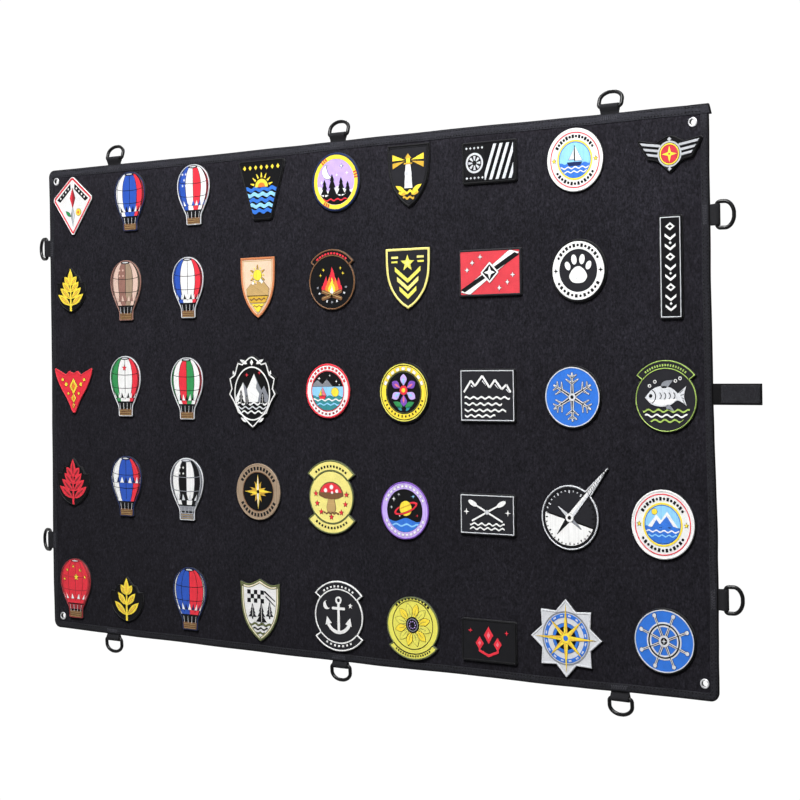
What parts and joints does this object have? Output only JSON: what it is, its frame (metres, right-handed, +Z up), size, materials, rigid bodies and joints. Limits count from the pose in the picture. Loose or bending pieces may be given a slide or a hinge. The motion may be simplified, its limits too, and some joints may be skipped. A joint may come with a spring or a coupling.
{
  "type": "patch display board",
  "caption": "Soft black loop-faced wall panel with bound edge, corner eyelets and D-rings on webbing tabs, holding removable embroidered hook-backed patches.",
  "frame": {"origin": "centre of the rear face of the back panel, the face that lies against the wall", "axes": "+X towards the right edge seen from the front, +Z up, +Y out of the back; the loop face with the patches looks along -Y"},
  "size_m": [1.1937, 0.0142, 0.7616],
  "materials": {
    "loop_pile": "brushed loop pile",
    "woven_back": "coated plain weave",
    "binding_tape": "ribbed woven tape",
    "webbing": "woven webbing",
    "ring_metal": "black satin coat on steel wire",
    "eyelet_metal": "nickel plate",
    "strap_pad": "hook and loop tape",
    "patch_embroidery": "embroidered twill with hook backing"
  },
  "bodies": {
    "board": {"loop_face_panel": "loop_pile", "back_panel": "woven_back", "edge_binding": "binding_tape", "ring_tab_top_left": "webbing", "ring_tab_top_middle": "webbing", "ring_tab_top_right": "webbing", "ring_tab_bottom_left": "webbing", "ring_tab_bottom_middle": "webbing", "ring_tab_bottom_right": "webbing", "ring_tab_left_upper": "webbing", "ring_tab_left_lower": "webbing", "ring_tab_right_upper": "webbing", "ring_tab_right_lower": "webbing", "eyelet_top_left": "eyelet_metal", "eyelet_top_right": "eyelet_metal", "eyelet_bottom_left": "eyelet_metal", "eyelet_bottom_right": "eyelet_metal", "eyelet_washer_top_left": "eyelet_metal", "eyelet_washer_top_right": "eyelet_metal", "eyelet_washer_bottom_left": "eyelet_metal", "eyelet_washer_bottom_right": "eyelet_metal"},
    "ring_top_left": {"d_ring_top_left": "ring_metal"},
    "ring_top_middle": {"d_ring_top_middle": "ring_metal"},
    "ring_top_right": {"d_ring_top_right": "ring_metal"},
    "ring_bottom_left": {"d_ring_bottom_left": "ring_metal"},
    "ring_bottom_middle": {"d_ring_bottom_middle": "ring_metal"},
    "ring_bottom_right": {"d_ring_bottom_right": "ring_metal"},
    "ring_left_upper": {"d_ring_left_upper": "ring_metal"},
    "ring_left_lower": {"d_ring_left_lower": "ring_metal"},
    "ring_right_upper": {"d_ring_right_upper": "ring_metal"},
    "ring_right_lower": {"d_ring_right_lower": "ring_metal"},
    "strap": {"closure_strap": "webbing", "strap_fastening_pad": "strap_pad"},
    "removable_r1c1": {"patch_r1c1": "patch_embroidery"},
    "removable_r1c2": {"patch_r1c2": "patch_embroidery"},
    "removable_r1c3": {"patch_r1c3": "patch_embroidery"},
    "removable_r1c4": {"patch_r1c4": "patch_embroidery"},
    "removable_r1c5": {"patch_r1c5": "patch_embroidery"},
    "removable_r1c6": {"patch_r1c6": "patch_embroidery"},
    "removable_r1c7": {"patch_r1c7": "patch_embroidery"},
    "removable_r1c8": {"patch_r1c8": "patch_embroidery"},
    "removable_r1c9": {"patch_r1c9": "patch_embroidery"},
    "removable_r3c1": {"patch_r3c1": "patch_embroidery"},
    "removable_r3c2": {"patch_r3c2": "patch_embroidery"},
    "removable_r3c3": {"patch_r3c3": "patch_embroidery"},
    "removable_r3c4": {"patch_r3c4": "patch_embroidery"},
    "removable_r3c5": {"patch_r3c5": "patch_embroidery"},
    "removable_r3c6": {"patch_r3c6": "patch_embroidery"},
    "removable_r3c7": {"patch_r3c7": "patch_embroidery"},
    "removable_r3c8": {"patch_r3c8": "patch_embroidery"},
    "removable_r3c9": {"patch_r3c9": "patch_embroidery"},
    "removable_r5c1": {"patch_r5c1": "patch_embroidery"},
    "removable_r5c2": {"patch_r5c2": "patch_embroidery"},
    "removable_r5c3": {"patch_r5c3": "patch_embroidery"},
    "removable_r5c4": {"patch_r5c4": "patch_embroidery"},
    "removable_r5c5": {"patch_r5c5": "patch_embroidery"},
    "removable_r5c6": {"patch_r5c6": "patch_embroidery"},
    "removable_r5c7": {"patch_r5c7": "patch_embroidery"},
    "removable_r5c8": {"patch_r5c8": "patch_embroidery"},
    "removable_r5c9": {"patch_r5c9": "patch_embroidery"}
  },
  "joints": [
    {"name": "ring_top_left_swing", "type": "hinge", "parent": "board", "child": "ring_top_left", "pos_m": [-0.412, -0.0017, 0.3584], "axis": [1, 0, 0], "range_deg": [-117, 153]},
    {"name": "ring_top_middle_swing", "type": "hinge", "parent": "board", "child": "ring_top_middle", "pos_m": [0.007, -0.0017, 0.3586], "axis": [1, 0, 0], "range_deg": [-117, 153]},
    {"name": "ring_top_right_swing", "type": "hinge", "parent": "board", "child": "ring_top_right", "pos_m": [0.42, -0.0017, 0.3584], "axis": [1, 0, 0], "range_deg": [-117, 153]},
    {"name": "ring_bottom_left_swing", "type": "hinge", "parent": "board", "child": "ring_bottom_left", "pos_m": [-0.428, -0.0017, -0.3586], "axis": [1, 0, 0], "range_deg": [-139, 131]},
    {"name": "ring_bottom_middle_swing", "type": "hinge", "parent": "board", "child": "ring_bottom_middle", "pos_m": [-0.002, -0.0017, -0.3592], "axis": [1, 0, 0], "range_deg": [-139, 131]},
    {"name": "ring_bottom_right_swing", "type": "hinge", "parent": "board", "child": "ring_bottom_right", "pos_m": [0.423, -0.0017, -0.3592], "axis": [1, 0, 0], "range_deg": [-139, 131]},
    {"name": "ring_left_upper_swing", "type": "hinge", "parent": "board", "child": "ring_left_upper", "pos_m": [-0.5584, -0.0017, 0.231], "axis": [0, 0, 1], "range_deg": [-118, 152]},
    {"name": "ring_left_lower_swing", "type": "hinge", "parent": "board", "child": "ring_left_lower", "pos_m": [-0.5606, -0.0017, -0.218], "axis": [0, 0, 1], "range_deg": [-118, 152]},
    {"name": "ring_right_upper_swing", "type": "hinge", "parent": "board", "child": "ring_right_upper", "pos_m": [0.5584, -0.0017, 0.2195], "axis": [0, 0, 1], "range_deg": [-147, 123]},
    {"name": "ring_right_lower_swing", "type": "hinge", "parent": "board", "child": "ring_right_lower", "pos_m": [0.5624, -0.0017, -0.23], "axis": [0, 0, 1], "range_deg": [-147, 123]},
    {"name": "strap_fold", "type": "hinge", "parent": "board", "child": "strap", "pos_m": [0.5543, -0.0017, 0.01], "axis": [0, 0, 1], "range_deg": [-140, 140]},
    {"name": "patch_r1c1_pull", "type": "slide", "parent": "board", "child": "removable_r1c1", "axis": [0, -1, 0], "range_m": [0, 0.035]},
    {"name": "patch_r1c2_pull", "type": "slide", "parent": "board", "child": "removable_r1c2", "axis": [0, -1, 0], "range_m": [0, 0.035]},
    {"name": "patch_r1c3_pull", "type": "slide", "parent": "board", "child": "removable_r1c3", "axis": [0, -1, 0], "range_m": [0, 0.035]},
    {"name": "patch_r1c4_pull", "type": "slide", "parent": "board", "child": "removable_r1c4", "axis": [0, -1, 0], "range_m": [0, 0.035]},
    {"name": "patch_r1c5_pull", "type": "slide", "parent": "board", "child": "removable_r1c5", "axis": [0, -1, 0], "range_m": [0, 0.035]},
    {"name": "patch_r1c6_pull", "type": "slide", "parent": "board", "child": "removable_r1c6", "axis": [0, -1, 0], "range_m": [0, 0.035]},
    {"name": "patch_r1c7_pull", "type": "slide", "parent": "board", "child": "removable_r1c7", "axis": [0, -1, 0], "range_m": [0, 0.035]},
    {"name": "patch_r1c8_pull", "type": "slide", "parent": "board", "child": "removable_r1c8", "axis": [0, -1, 0], "range_m": [0, 0.035]},
    {"name": "patch_r1c9_pull", "type": "slide", "parent": "board", "child": "removable_r1c9", "axis": [0, -1, 0], "range_m": [0, 0.035]},
    {"name": "patch_r3c1_pull", "type": "slide", "parent": "board", "child": "removable_r3c1", "axis": [0, -1, 0], "range_m": [0, 0.035]},
    {"name": "patch_r3c2_pull", "type": "slide", "parent": "board", "child": "removable_r3c2", "axis": [0, -1, 0], "range_m": [0, 0.035]},
    {"name": "patch_r3c3_pull", "type": "slide", "parent": "board", "child": "removable_r3c3", "axis": [0, -1, 0], "range_m": [0, 0.035]},
    {"name": "patch_r3c4_pull", "type": "slide", "parent": "board", "child": "removable_r3c4", "axis": [0, -1, 0], "range_m": [0, 0.035]},
    {"name": "patch_r3c5_pull", "type": "slide", "parent": "board", "child": "removable_r3c5", "axis": [0, -1, 0], "range_m": [0, 0.035]},
    {"name": "patch_r3c6_pull", "type": "slide", "parent": "board", "child": "removable_r3c6", "axis": [0, -1, 0], "range_m": [0, 0.035]},
    {"name": "patch_r3c7_pull", "type": "slide", "parent": "board", "child": "removable_r3c7", "axis": [0, -1, 0], "range_m": [0, 0.035]},
    {"name": "patch_r3c8_pull", "type": "slide", "parent": "board", "child": "removable_r3c8", "axis": [0, -1, 0], "range_m": [0, 0.035]},
    {"name": "patch_r3c9_pull", "type": "slide", "parent": "board", "child": "removable_r3c9", "axis": [0, -1, 0], "range_m": [0, 0.035]},
    {"name": "patch_r5c1_pull", "type": "slide", "parent": "board", "child": "removable_r5c1", "axis": [0, -1, 0], "range_m": [0, 0.035]},
    {"name": "patch_r5c2_pull", "type": "slide", "parent": "board", "child": "removable_r5c2", "axis": [0, -1, 0], "range_m": [0, 0.035]},
    {"name": "patch_r5c3_pull", "type": "slide", "parent": "board", "child": "removable_r5c3", "axis": [0, -1, 0], "range_m": [0, 0.035]},
    {"name": "patch_r5c4_pull", "type": "slide", "parent": "board", "child": "removable_r5c4", "axis": [0, -1, 0], "range_m": [0, 0.035]},
    {"name": "patch_r5c5_pull", "type": "slide", "parent": "board", "child": "removable_r5c5", "axis": [0, -1, 0], "range_m": [0, 0.035]},
    {"name": "patch_r5c6_pull", "type": "slide", "parent": "board", "child": "removable_r5c6", "axis": [0, -1, 0], "range_m": [0, 0.035]},
    {"name": "patch_r5c7_pull", "type": "slide", "parent": "board", "child": "removable_r5c7", "axis": [0, -1, 0], "range_m": [0, 0.035]},
    {"name": "patch_r5c8_pull", "type": "slide", "parent": "board", "child": "removable_r5c8", "axis": [0, -1, 0], "range_m": [0, 0.035]},
    {"name": "patch_r5c9_pull", "type": "slide", "parent": "board", "child": "removable_r5c9", "axis": [0, -1, 0], "range_m": [0, 0.035]}
  ]
}
